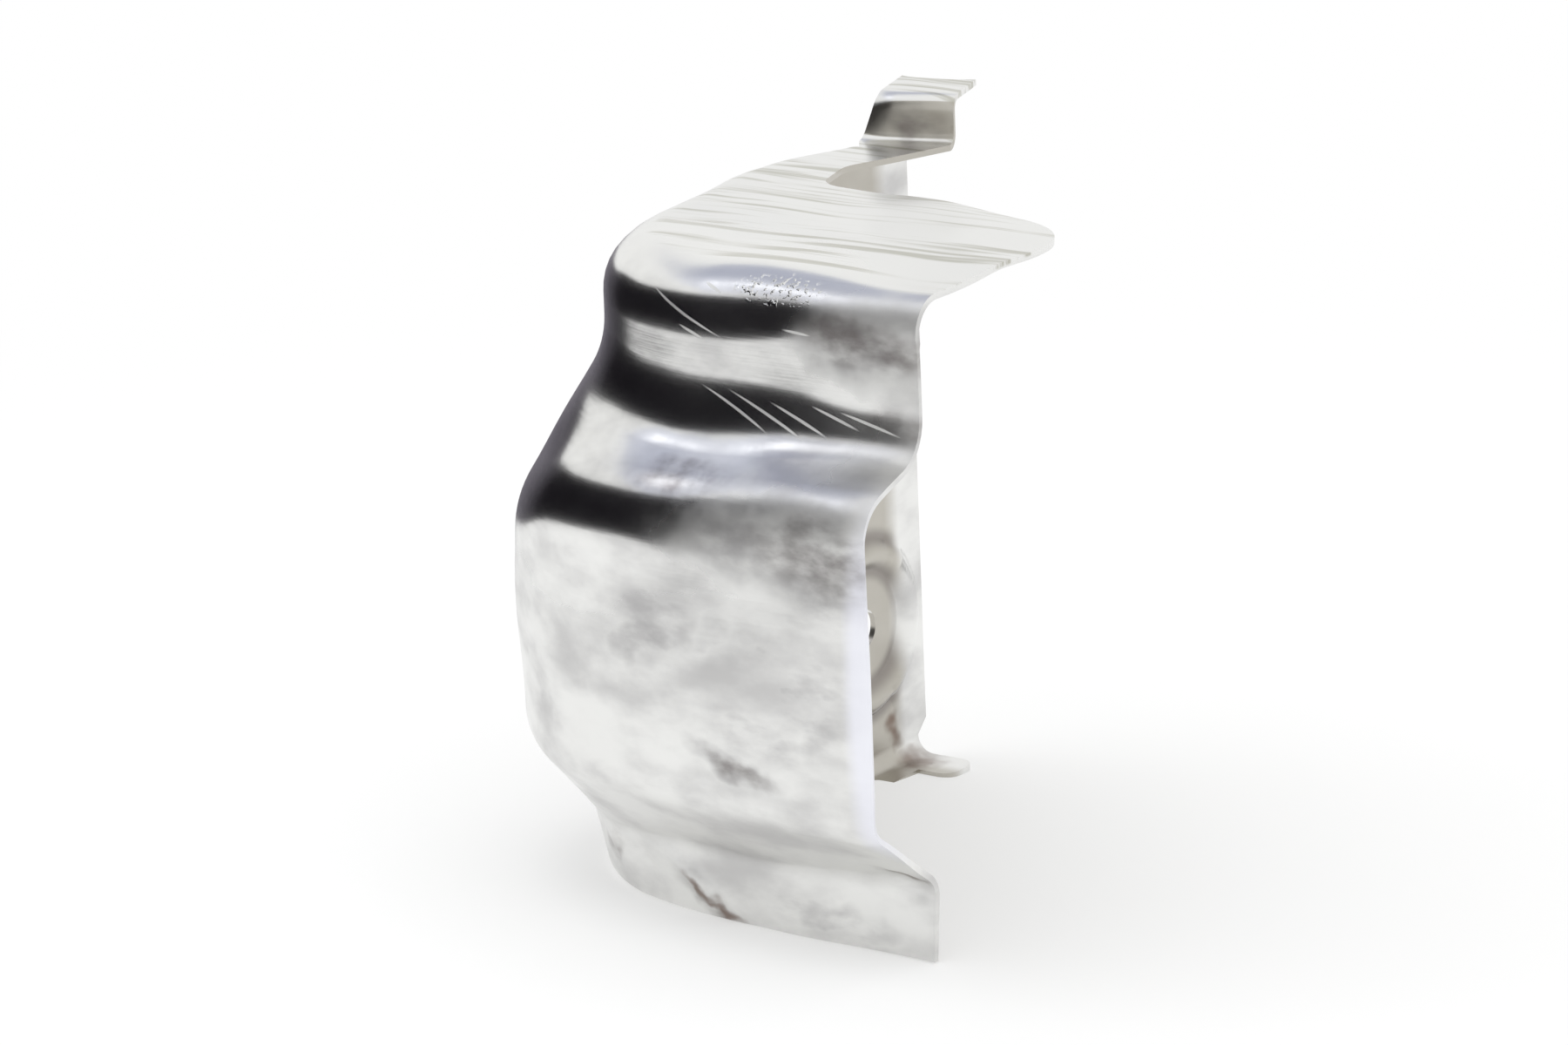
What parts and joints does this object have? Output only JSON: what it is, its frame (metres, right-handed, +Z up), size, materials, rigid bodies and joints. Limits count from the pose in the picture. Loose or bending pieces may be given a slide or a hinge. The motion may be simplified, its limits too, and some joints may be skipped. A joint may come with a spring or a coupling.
{
  "type": "engine mount heat shield",
  "caption": "Pressed aluminium heat shield that wraps the corner of an engine mount: bulged front wall, flat roof with a clip tongue, and a side wall with a beaded mounting hole and a foot tab.",
  "frame": {"origin": "centre of the mounting hole, on the outer face of the side wall", "axes": "+X along the front wall, away from the side wall; +Y to the back, away from the front wall; +Z up to the roof. The mounting hole runs along X"},
  "size_m": [0.0911, 0.1185, 0.1196],
  "materials": {
    "pressed_aluminium": "bright rolled sheet, lightly scuffed"
  },
  "bodies": {
    "root": {"heat_shield": "pressed_aluminium"}
  },
  "joints": []
}
